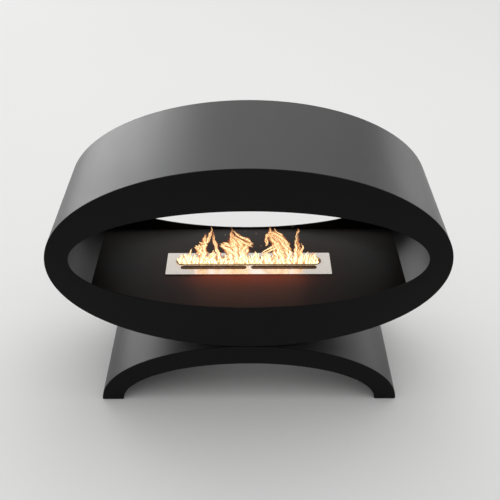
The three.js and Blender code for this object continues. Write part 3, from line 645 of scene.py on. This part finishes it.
class FIREPLACE_OT_face_plates(bpy.types.Operator):
    """Make the front and rear face plates with their fire openings"""

    bl_idname = "fireplace.face_plates"
    bl_label = "Face Plates"

    def execute(self, context):
        sizes = context.scene.fireplace_sizes
        half_width = DRUM_HALF_WIDTH - sizes.rim_side
        half_height = DRUM_HALF_HEIGHT - (sizes.rim_top + sizes.rim_bottom) / 2
        centre = DRUM_CENTRE_Z + (sizes.rim_bottom - sizes.rim_top) / 2
        outside = quarter_round(sizes.face_round)
        inside = quarter_round(sizes.opening_round, 3)
        for name, node, face, turn in (
            ("front_plate", "front_face", FACE_LOW.y, 1),
            ("rear_plate", "rear_face", REAR_HIGH.y, -1),
        ):
            back = face + turn * FACE_THICKNESS
            rings = [ellipse_ring(half_width, half_height, centre, back, RING_COUNT)]
            for inset, depth in inside:
                y = face + turn * depth
                rings.append(
                    ellipse_ring(half_width + inset, half_height + inset, centre, y, RING_COUNT)
                )
            for inset, depth in reversed(outside):
                y = face + turn * depth
                rings.append(
                    ellipse_ring(
                        DRUM_HALF_WIDTH - inset, DRUM_HALF_HEIGHT - inset, DRUM_CENTRE_Z, y, RING_COUNT
                    )
                )
            rings.append(
                ellipse_ring(DRUM_HALF_WIDTH, DRUM_HALF_HEIGHT, DRUM_CENTRE_Z, back, RING_COUNT)
            )
            points, faces = skin_rings(rings, True)
            piece = outward(add_mesh(name, points, faces, face_coat()))
            stand_for(piece, node, "stand")
        return {"FINISHED"}


class FIREPLACE_OT_hearth(bpy.types.Operator):
    """Finish the hearth floor and what carries it"""

    bl_idname = "fireplace.hearth"
    bl_label = "Hearth Floor"

    def execute(self, context):
        edge = context.scene.fireplace_sizes.sheet_edge
        dress("hearth_floor", hearth_coat(), edge)
        for node in nodes_named("floor_ledge", "floor_stiffener"):
            dress(node, inner_coat(), edge)
        return {"FINISHED"}


# ---- Base -----------------------------------------------------------------------------------

ARCH_COUNT = 120


class FIREPLACE_OT_base_arch(bpy.types.Operator):
    """Make the arched plates and the two skins between them"""

    bl_idname = "fireplace.base_arch"
    bl_label = "Base Arch"

    def plate(self, sizes, name, node, face, turn, thickness):
        outer = (ARCH_HALF_WIDTH, ARCH_RISE)
        inner = (ARCH_HALF_WIDTH - sizes.band_side, ARCH_RISE - sizes.band_crown)
        rings = []
        for inset, depth in reversed(quarter_round(sizes.base_round, 4)):
            rings.append(
                arch_ring(
                    (outer[0] - inset, outer[1] - inset),
                    (inner[0] + inset, inner[1] + inset),
                    ARCH_FOOT,
                    face + turn * depth,
                    ARCH_COUNT,
                )
            )
        rings.append(arch_ring(outer, inner, ARCH_FOOT, face + turn * thickness, ARCH_COUNT))
        self.solid(name, node, rings, face_coat())

    def skin(self, name, node, half_width, rise, wall, front, rear):
        rings = [
            arch_ring((half_width, rise), (half_width - wall, rise - wall), ARCH_FOOT, y, ARCH_COUNT)
            for y in (front, rear)
        ]
        self.solid(name, node, rings, skin_coat())

    def solid(self, name, node, rings, material):
        points, faces = skin_rings(rings, False)
        count = len(rings[0])
        half = count // 2
        for offset in (0, (len(rings) - 1) * count):
            for i in range(half - 1):
                a, b = offset + i, offset + i + 1
                c, d = offset + count - 2 - i, offset + count - 1 - i
                faces.append((a, b, c, d))
        piece = outward(add_mesh(name, points, faces, material))
        stand_for(piece, node, "stand")

    def execute(self, context):
        sizes = context.scene.fireplace_sizes
        thickness = ARCH_HIGH.y - ARCH_LOW.y
        wall = sizes.skin_wall
        front = -HALF_DEPTH + thickness
        rear = HALF_DEPTH - thickness
        self.plate(sizes, "arch_front", "base_front_plate", -HALF_DEPTH, 1, thickness)
        self.plate(sizes, "arch_rear", "base_rear_plate", HALF_DEPTH, -1, thickness)
        self.skin("arch_top_skin", "base_outer_skin", ARCH_HALF_WIDTH, ARCH_RISE, wall, front, rear)
        inner_width = ARCH_HALF_WIDTH - sizes.band_side + wall
        inner_rise = ARCH_RISE - sizes.band_crown + wall
        self.skin("arch_under_skin", "base_inner_skin", inner_width, inner_rise, wall, front, rear)
        return {"FINISHED"}


class FIREPLACE_OT_base_fittings(bpy.types.Operator):
    """Finish the foot plates, ribs, glides, packing bars and bolts"""

    bl_idname = "fireplace.base_fittings"
    bl_label = "Base Fittings"

    def execute(self, context):
        edge = context.scene.fireplace_sizes.sheet_edge
        for node in nodes_named("base_foot", "base_rib"):
            dress(node, inner_coat(), edge)
        for node in nodes_named("saddle_bar"):
            dress(node, inner_coat())
        for node in nodes_named("glide"):
            dress(node, glide_rubber(), edge)
        for node in nodes_named("bevel_washer", "drum_bolt"):
            dress(node, zinc_steel())
        for node in nodes_named("weld_nut"):
            dress(node, inner_steel())
        return {"FINISHED"}


# ---- Burner ---------------------------------------------------------------------------------


class FIREPLACE_OT_burner_plate(bpy.types.Operator):
    """Finish the burner's top plate and the shutter under it"""

    bl_idname = "fireplace.burner_plate"
    bl_label = "Burner Plate"

    def execute(self, context):
        edge = context.scene.fireplace_sizes.sheet_edge
        dress("burner_plate", burner_steel(), edge)
        dress("shutter", burner_steel(), edge / 2)
        dress("tank_deck", burner_steel())
        for node in nodes_named("shutter_rail"):
            dress(node, inner_steel())
        return {"FINISHED"}


class FIREPLACE_OT_slot_weave(bpy.types.Operator):
    """Make the woven strips under the two slots"""

    bl_idname = "fireplace.slot_weave"
    bl_label = "Slot Weave"

    def wire(self, points, faces, place, steps):
        """One wire as a square tube through a list of points given by a function."""
        half = self.sizes.weave_wire / 2
        start = len(points)
        for k in range(steps + 1):
            centre, side = place(k / steps)
            for turn in ((-1, -1), (1, -1), (1, 1), (-1, 1)):
                points.append(centre + side * (turn[0] * half) + Vector((0, 0, turn[1] * half)))
        for k in range(steps):
            for i in range(4):
                a, b = start + 4 * k + i, start + 4 * k + (i + 1) % 4
                faces.append((a, b, b + 4, a + 4))
        last = start + 4 * steps
        faces.append((start + 3, start + 2, start + 1, start))
        faces.append((last, last + 1, last + 2, last + 3))

    def execute(self, context):
        self.sizes = context.scene.fireplace_sizes
        pitch = self.sizes.weave_pitch
        for side in ("left", "right"):
            low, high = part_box(f"slot_mesh_{side}")
            half_width = (high.y - low.y) / 2
            middle = (low + high) / 2
            reach = (high.x - low.x) / 2
            rise = (high.z - low.z - self.sizes.weave_wire) / 2
            points, faces = [], []
            count = int(2 * reach / pitch)
            for k in range(count):
                x = (k + 0.5) * pitch - count * pitch / 2
                past = max(0.0, abs(x) - (reach - half_width))
                span = math.sqrt(half_width**2 - past**2) - self.sizes.weave_wire
                turn = 1 if k % 2 else -1

                def crossing(t):
                    y = span * (2 * t - 1)
                    z = turn * rise * math.cos(y / pitch * math.pi)
                    return middle + Vector((x, y, z)), Vector((1, 0, 0))

                self.wire(points, faces, crossing, 12)
            rows = int(2 * half_width / pitch)
            for k in range(rows):
                y = (k + 0.5) * pitch - rows * pitch / 2
                span = reach - half_width + math.sqrt(half_width**2 - y**2) - self.sizes.weave_wire

                def straight(t):
                    return middle + Vector((span * (2 * t - 1), y, 0)), Vector((0, 1, 0))

                self.wire(points, faces, straight, 2)
            piece = outward(add_mesh(f"slot_weave_{side}", points, faces, burnt_mesh()))
            stand_for(piece, f"slot_mesh_{side}", "burner")
        return {"FINISHED"}


class FIREPLACE_OT_burner_inside(bpy.types.Operator):
    """Finish the tray, the tank, its filling, the meshes and the screws"""

    bl_idname = "fireplace.burner_inside"
    bl_label = "Burner Inside"

    def execute(self, context):
        for node in nodes_named("drip_tray", "fuel_tank", "tank_bearer"):
            dress(node, inner_steel())
        dress("wick_mesh", burnt_mesh())
        dress("ceramic_wick", ceramic_fibre())
        for node in nodes_named("deck_screw"):
            dress(node, zinc_steel())
        return {"FINISHED"}


# ---- Stage ----------------------------------------------------------------------------------

# The photo's camera: place in metres, pitch and roll in degrees, lens in millimetres.
CAMERA_PLACE = (0.0, -1.7832, 1.5964)
CAMERA_PITCH = 34.261
CAMERA_ROLL = 0.139
CAMERA_LENS = 57.671
CAMERA_SHIFT = (0.00270, -0.00758)
FLOOR_HALF = 14.0
# The sky's brightest direction, and its light from opposite that direction (0) to it (1).
SKY_AXIS = (0.0, 0.25, 0.97)
SKY_LEVELS = ((0.375, 0.10), (0.60, 0.18), (0.71, 0.41), (0.84, 0.94), (1.0, 1.03))
SKY_STRENGTH = 1.08
# Soft lamps: place, the point each looks at, size and power.
STUDIO_LAMPS = (
    ("key_lamp", (0.3, 1.0, 4.2), (0, 0.3, 0), (3.2, 3.2), 42),
    ("side_lamp", (-5.0, 8.4, 2.3), (0, 0, 0.8), (6.0, 4.8), 262),
    ("fill_lamp", (6.2, 7.2, 1.2), (0, 0, 0.5), (4.0, 2.6), 48),
)


class FIREPLACE_OT_stage(bpy.types.Operator):
    """Make the pale floor, the soft lamps and the camera"""

    bl_idname = "fireplace.stage"
    bl_label = "Stage"

    def floor(self):
        graph = Graph("studio_floor")
        base = colours()["floor"]
        cloud = graph.noise(0.6, 3.0)
        material = graph.surface(
            Base_Color=graph.mix(cloud, scaled(base, 0.985), scaled(base, 1.015)),
            Roughness=0.75 + (cloud - 0.5) * 0.05,
            Specular_IOR_Level=0.2,
        )
        half = FLOOR_HALF
        corners = [(-half, -half, 0), (half, -half, 0), (half, half, 0), (-half, half, 0)]
        add_mesh("studio_floor", corners, [(0, 1, 2, 3)], material)

    def sky(self):
        """Light from above and behind, fading towards the horizon in front."""
        graph = Graph("studio_sky", bpy.data.worlds.new("studio_sky"))
        direction = graph.node("ShaderNodeTexCoord")
        tilt = {"operation": "DOT_PRODUCT"}
        up = graph.node("ShaderNodeVectorMath", tilt, [direction, SKY_AXIS], 1)
        up = up * 0.5 + 0.5
        stops = [(level, (glow, glow, glow)) for level, glow in SKY_LEVELS]
        light = graph.node("ShaderNodeValToRGB", {"stops": stops}, [up])
        shader = graph.node("ShaderNodeBackground", None, {"Color": light, "Strength": SKY_STRENGTH})
        graph.node("ShaderNodeOutputWorld", None, {"Surface": shader})
        bpy.context.scene.world = graph.holder

    def camera(self):
        data = bpy.data.cameras.new("photo_camera")
        data.lens = CAMERA_LENS
        data.sensor_width = 36.0
        data.shift_x, data.shift_y = CAMERA_SHIFT
        camera = bpy.data.objects.new("photo_camera", data)
        camera.location = CAMERA_PLACE
        pitch = Matrix.Rotation(math.radians(90 - CAMERA_PITCH), 3, "X")
        roll = Matrix.Rotation(math.radians(-CAMERA_ROLL), 3, "Z")
        camera.rotation_euler = (pitch @ roll).to_euler()
        bpy.context.scene.collection.objects.link(camera)
        bpy.context.scene.camera = camera

    def execute(self, context):
        context.scene.view_settings.view_transform = "Standard"
        self.floor()
        self.sky()
        for name, place, target, size, power in STUDIO_LAMPS:
            add_lamp(name, place, Vector(target) - Vector(place), "Y", size, power)
        self.camera()
        return {"FINISHED"}


# ---- Flames ---------------------------------------------------------------------------------

# Each tongue as points of its middle line: millimetres along the burner, above the wick, half width.
TONGUES = (
    ((-187, 0, 8), (-186, 14, 7), (-182, 27, 1)),
    ((-172, 0, 9), (-169, 18, 7), (-161, 34, 4), (-153, 46, 1)),
    ((-150, 0, 10), (-149, 14, 8), (-146, 24, 1)),
    ((-122, 0, 18), (-125, 24, 17), (-131, 42, 15), (-141, 52, 8), (-148, 55, 1)),
    ((-128, 26, 14), (-129, 48, 14), (-131, 60, 9), (-136, 66, 2)),
    ((-126, 20, 14), (-124, 50, 14), (-119, 74, 9), (-116, 98, 1)),
    ((-114, 74, 5), (-109, 84, 8), (-104, 98, 6), (-99, 118, 1)),
    ((-106, 0, 18), (-103, 18, 15), (-96, 34, 5), (-94, 40, 1)),
    ((-78, 0, 12), (-82, 22, 8), (-88, 48, 6), (-93, 74, 6), (-99, 112, 1)),
    ((-50, 8, 17), (-54, 32, 16), (-61, 46, 14), (-71, 56, 8), (-79, 60, 1)),
    ((-42, 30, 14), (-48, 48, 13), (-58, 58, 9), (-70, 63, 2)),
    ((-40, 0, 18), (-42, 34, 16), (-46, 64, 11), (-48, 92, 5), (-44, 120, 1)),
    ((-30, 0, 18), (-30, 36, 18), (-33, 62, 14), (-41, 88, 7), (-46, 108, 1)),
    ((-44, 102, 4), (-34, 90, 9), (-18, 78, 11), (-2, 68, 9), (12, 60, 1)),
    ((-18, 34, 15), (-20, 54, 15), (-26, 74, 9), (-36, 92, 2)),
    ((-10, 0, 18), (-10, 28, 18), (-7, 48, 14), (2, 62, 9), (13, 66, 1)),
    ((16, 0, 16), (17, 14, 13), (18, 26, 6), (20, 36, 1)),
    ((74, 52, 10), (60, 46, 7), (48, 38, 5), (37, 28, 2)),
    ((60, 0, 16), (56, 14, 13), (50, 26, 5), (46, 32, 1)),
    ((96, 0, 20), (92, 30, 19), (82, 58, 16), (66, 80, 12), (57, 97, 8), (64, 114, 1)),
    ((50, 66, 4), (49, 82, 6), (51, 96, 6), (60, 104, 3)),
    ((56, 104, 6), (74, 98, 9), (91, 84, 9), (104, 64, 7), (115, 42, 3)),
    ((112, 0, 14), (108, 30, 13), (100, 56, 12), (88, 78, 10), (74, 96, 6), (64, 110, 1)),
    ((88, 10, 16), (80, 38, 15), (72, 60, 10), (70, 80, 2)),
    ((128, 0, 13), (129, 26, 8), (129, 50, 5), (129, 74, 2), (131, 90, 2), (134, 100, 4), (134, 110, 1)),
    ((143, 0, 12), (144, 26, 8), (146, 48, 4), (147, 68, 1)),
    ((160, 0, 11), (161, 20, 7), (164, 34, 1)),
    ((178, 0, 11), (180, 18, 7), (183, 32, 1)),
)
# Wide, thin veils of dimmer fire behind the tongues, given in the same way.
VEILS = (
    ((-130, 0, 22), (-130, 30, 18), (-125, 56, 12), (-118, 84, 4)),
    ((-82, 0, 14), (-85, 26, 8), (-90, 52, 6), (-96, 80, 4)),
    ((-50, 0, 22), (-49, 34, 20), (-46, 68, 13), (-45, 100, 4)),
    ((-20, 0, 24), (-18, 32, 24), (-10, 56, 18), (6, 64, 5)),
    ((74, 0, 16), (72, 26, 12), (70, 50, 8), (60, 80, 6)),
    ((94, 0, 26), (92, 34, 24), (84, 66, 20), (72, 98, 9)),
    ((138, 0, 16), (138, 30, 10), (135, 58, 6), (132, 84, 2)),
    ((172, 0, 14), (172, 16, 10), (176, 28, 4)),
)
# Light of the fire on the floor and on the plate: place from the middle of the plate's front edge,
# aim, size, power, tint, and whether polished metal shows it.
GLOW_LAMPS = (
    ("floor_glow", (0, 0.004, 0.042), (0, -1, -0.55), (0.27, 0.03), 0.80, (1.0, 0.14, 0.035), False),
    ("plate_glow", (0, 0.050, 0.060), (0, -1, -0.3), (0.30, 0.09), 0.056, (1.0, 0.84, 0.76), True),
)
# Sparks: millimetres along the burner, above the wick, half width.
SPARKS = ((20, 96, 1.6), (34, 56, 1.4), (-63, 92, 1.2), (118, 118, 1.2), (-8, 104, 1.0))


# Sheets of each tongue: how far they turn about the upright, how many, and their share of its width.
TONGUE_SHEETS = ((0.35, 3, 0.85), (1.20, 2, 0.70))
VEIL_SETBACKS = (0.004, 0.010)
# Rows of small flames along the mouth, by their distance behind its middle, and flames in a row.
LOW_ROWS = (-0.011, -0.004, 0.003, 0.010)
LOW_COUNT = 48


class FIREPLACE_OT_flames(bpy.types.Operator):
    """Make the flames that stand in the tank's mouth"""

    bl_idname = "fireplace.flames"
    bl_label = "Flames"

    @staticmethod
    def along(line, v):
        """A point of a middle line, curved smoothly through its given points."""
        last = len(line) - 1
        k = min(int(v * last), last - 1)
        t = v * last - k
        before, a, b, after = (Vector(line[min(max(k + d, 0), last)]) for d in (-1, 0, 1, 2))
        bend = (2 * a - 2 * b + (b - before) / 2 + (after - a) / 2) * t**3
        sweep = (3 * b - 3 * a - (b - before) - (after - a) / 2) * t**2
        return bend + sweep + (b - before) / 2 * t + a

    def sheet(self, line, foot, yaw, lean, steps, strips=8, wave=0.0, flutter=0.0, dim=0.0):
        """One curved sheet of flame: rows of (point, share across, share of its height)."""
        tall = bpy.context.scene.fireplace_sizes.flame_height
        rows = []
        for j in range(steps + 1):
            x, z, half = self.along(line, j / steps) / 1000
            ahead = self.along(line, min((j + 0.5) / steps, 1.0))
            behind = self.along(line, max((j - 0.5) / steps, 0.0))
            run = Vector((ahead.x - behind.x, ahead.y - behind.y)).normalized()
            x += flutter * math.sin(230 * z + wave) * min(1.0, z / 0.02)
            half = max(half * (1 + 0.22 * math.sin(410 * z + 2.3 * wave)), 0.0004)
            row = []
            for i in range(strips + 1):
                u = 2 * i / strips - 1
                cup = 0.4 * half * (1 - u * u)
                side = half * u
                along = side * math.cos(yaw) * run.y - cup * math.sin(yaw)
                deep = side * math.sin(yaw) + cup * math.cos(yaw) + lean * z
                high = max(z - side * math.cos(yaw) * run.x, 0.0)
                point = foot + Vector((x + along, deep, high))
                row.append((point, dim + abs(u) * (1 - dim), (z / tall, j / steps)))
            rows.append(row)
        return rows

    def bed(self, foot, sizes):
        """The low glow that fills the mouth from end to end."""
        half = sizes.flame_width / 2 - 0.003
        reach = sizes.flame_length / 2 - 0.003
        rows = []
        for j in range(81):
            x = reach * (2 * j / 80 - 1)
            past = max(0.0, abs(x) - (reach - half))
            side = max(math.sqrt(half * half - past * past), 0.0005)
            row = []
            for i in range(7):
                u = i / 3 - 1
                height = 0.0015 + 0.002 * (1 - u * u) * (1 + math.sin(90 * x) * math.sin(37 * x))
                row.append((foot + Vector((x, side * u, height)), 0.32 + 0.2 * u * u, (0.20, 0.0)))
            rows.append(row)
        return rows

    def sheets(self, context):
        sizes = context.scene.fireplace_sizes
        chance = random.Random(11)
        centre = PLATE_HIGH.y - sizes.flame_from_rear - sizes.flame_width / 2
        foot = Vector((0, centre, WICK_TOP + 0.0005))
        for line in TONGUES:
            for spread, layers, share in TONGUE_SHEETS:
                for _ in range(layers):
                    shift = chance.uniform(-5, 5)
                    tall = chance.uniform(0.88, 1.0)
                    bent = [(x + shift * half / 14, z * tall, half * share) for x, z, half in line]
                    place = foot + Vector((0, chance.uniform(-0.007, 0.007), 0))
                    yaw = chance.uniform(-spread, spread)
                    lean = chance.uniform(-0.10, 0.10)
                    wave = chance.uniform(0, 6)
                    yield self.sheet(bent, place, yaw, lean, 34, 8, wave, 0.0022)
        for line in VEILS:
            for back in VEIL_SETBACKS:
                wave = chance.uniform(0, 6)
                place = foot + Vector((0, back, 0))
                yaw = chance.uniform(-0.3, 0.3)
                yield self.sheet(line, place, yaw, 0.0, 26, 10, wave, 0.003, 0.30)
        reach = sizes.flame_length * 500 - 4
        for row in LOW_ROWS:
            for k in range(LOW_COUNT):
                x = -reach + 2 * reach * (k + chance.random()) / LOW_COUNT
                tall = chance.uniform(7, 25)
                lean = chance.uniform(-8, 8)
                half = chance.uniform(6, 14)
                line = ((x, 0, half), (x + lean * 0.3, tall * 0.5, half * 0.9), (x + lean, tall, 1))
                place = foot + Vector((0, row, 0))
                yield self.sheet(line, place, chance.uniform(-0.8, 0.8), 0.0, 8, 4)
        yield self.bed(foot, sizes)
        for x, z, half in SPARKS:
            line = ((x, z - half, 0.4), (x, z, half), (x, z + half * 1.4, 0.4))
            yield self.sheet(line, foot, chance.uniform(-0.6, 0.6), 0.0, 4, 4)

    def execute(self, context):
        points, faces, across, rise = [], [], [], []
        for rows in self.sheets(context):
            start = len(points)
            width = len(rows[0])
            for row in rows:
                for point, u, (height, share) in row:
                    points.append(point)
                    across.append(u + max(0.0, share - 0.8) * 2)
                    rise.append(height)
            for j in range(len(rows) - 1):
                for i in range(width - 1):
                    a = start + j * width + i
                    faces.append((a, a + 1, a + width + 1, a + width))
        piece = add_mesh("flames", points, faces, flame_fire(), math.pi)
        for name, values in (("across", across), ("rise", rise)):
            layer = piece.data.attributes.new(name, "FLOAT", "POINT")
            layer.data.foreach_set("value", values)
        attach(piece, "burner")
        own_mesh(piece)
        for name, place, aim, size, power, tint, gloss in GLOW_LAMPS:
            place = Vector((0, PLATE_LOW.y, PLATE_HIGH.z)) + Vector(place)
            lamp = add_lamp(name, place, aim, "Z", size, power, tint)
            lamp.visible_camera = False
            lamp.visible_glossy = gloss
            if gloss:
                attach(lamp, "burner")
        return {"FINISHED"}


# ---- Panel and registration -----------------------------------------------------------------

OPERATORS = (
    FIREPLACE_OT_stage,
    FIREPLACE_OT_drum_shell,
    FIREPLACE_OT_face_plates,
    FIREPLACE_OT_hearth,
    FIREPLACE_OT_base_arch,
    FIREPLACE_OT_base_fittings,
    FIREPLACE_OT_burner_plate,
    FIREPLACE_OT_slot_weave,
    FIREPLACE_OT_burner_inside,
    FIREPLACE_OT_flames,
)


class FIREPLACE_PT_panel(bpy.types.Panel):
    """Lists the fireplace's pieces, sizes and colours"""

    bl_idname = "FIREPLACE_PT_panel"
    bl_label = "Fireplace"
    bl_space_type = "VIEW_3D"
    bl_region_type = "UI"
    bl_category = "Fireplace"

    def draw(self, context):
        layout = self.layout
        for operator in OPERATORS:
            layout.operator(operator.bl_idname)
        for group, kind in (
            (context.scene.fireplace_sizes, FireplaceSizes),
            (context.scene.fireplace_colours, FireplaceColours),
        ):
            column = layout.column()
            for name in kind.__annotations__:
                column.prop(group, name)


CLASSES = (FireplaceSizes, FireplaceColours, *OPERATORS, FIREPLACE_PT_panel)


def register():
    for cls in CLASSES:
        bpy.utils.register_class(cls)
    bpy.types.Scene.fireplace_sizes = bpy.props.PointerProperty(type=FireplaceSizes)
    bpy.types.Scene.fireplace_colours = bpy.props.PointerProperty(type=FireplaceColours)


def unregister():
    del bpy.types.Scene.fireplace_colours
    del bpy.types.Scene.fireplace_sizes
    for cls in reversed(CLASSES):
        bpy.utils.unregister_class(cls)


def main():
    register()
    for operator in OPERATORS:
        space, name = operator.bl_idname.split(".")
        getattr(getattr(bpy.ops, space), name)()


if __name__ == "__main__":
    main()
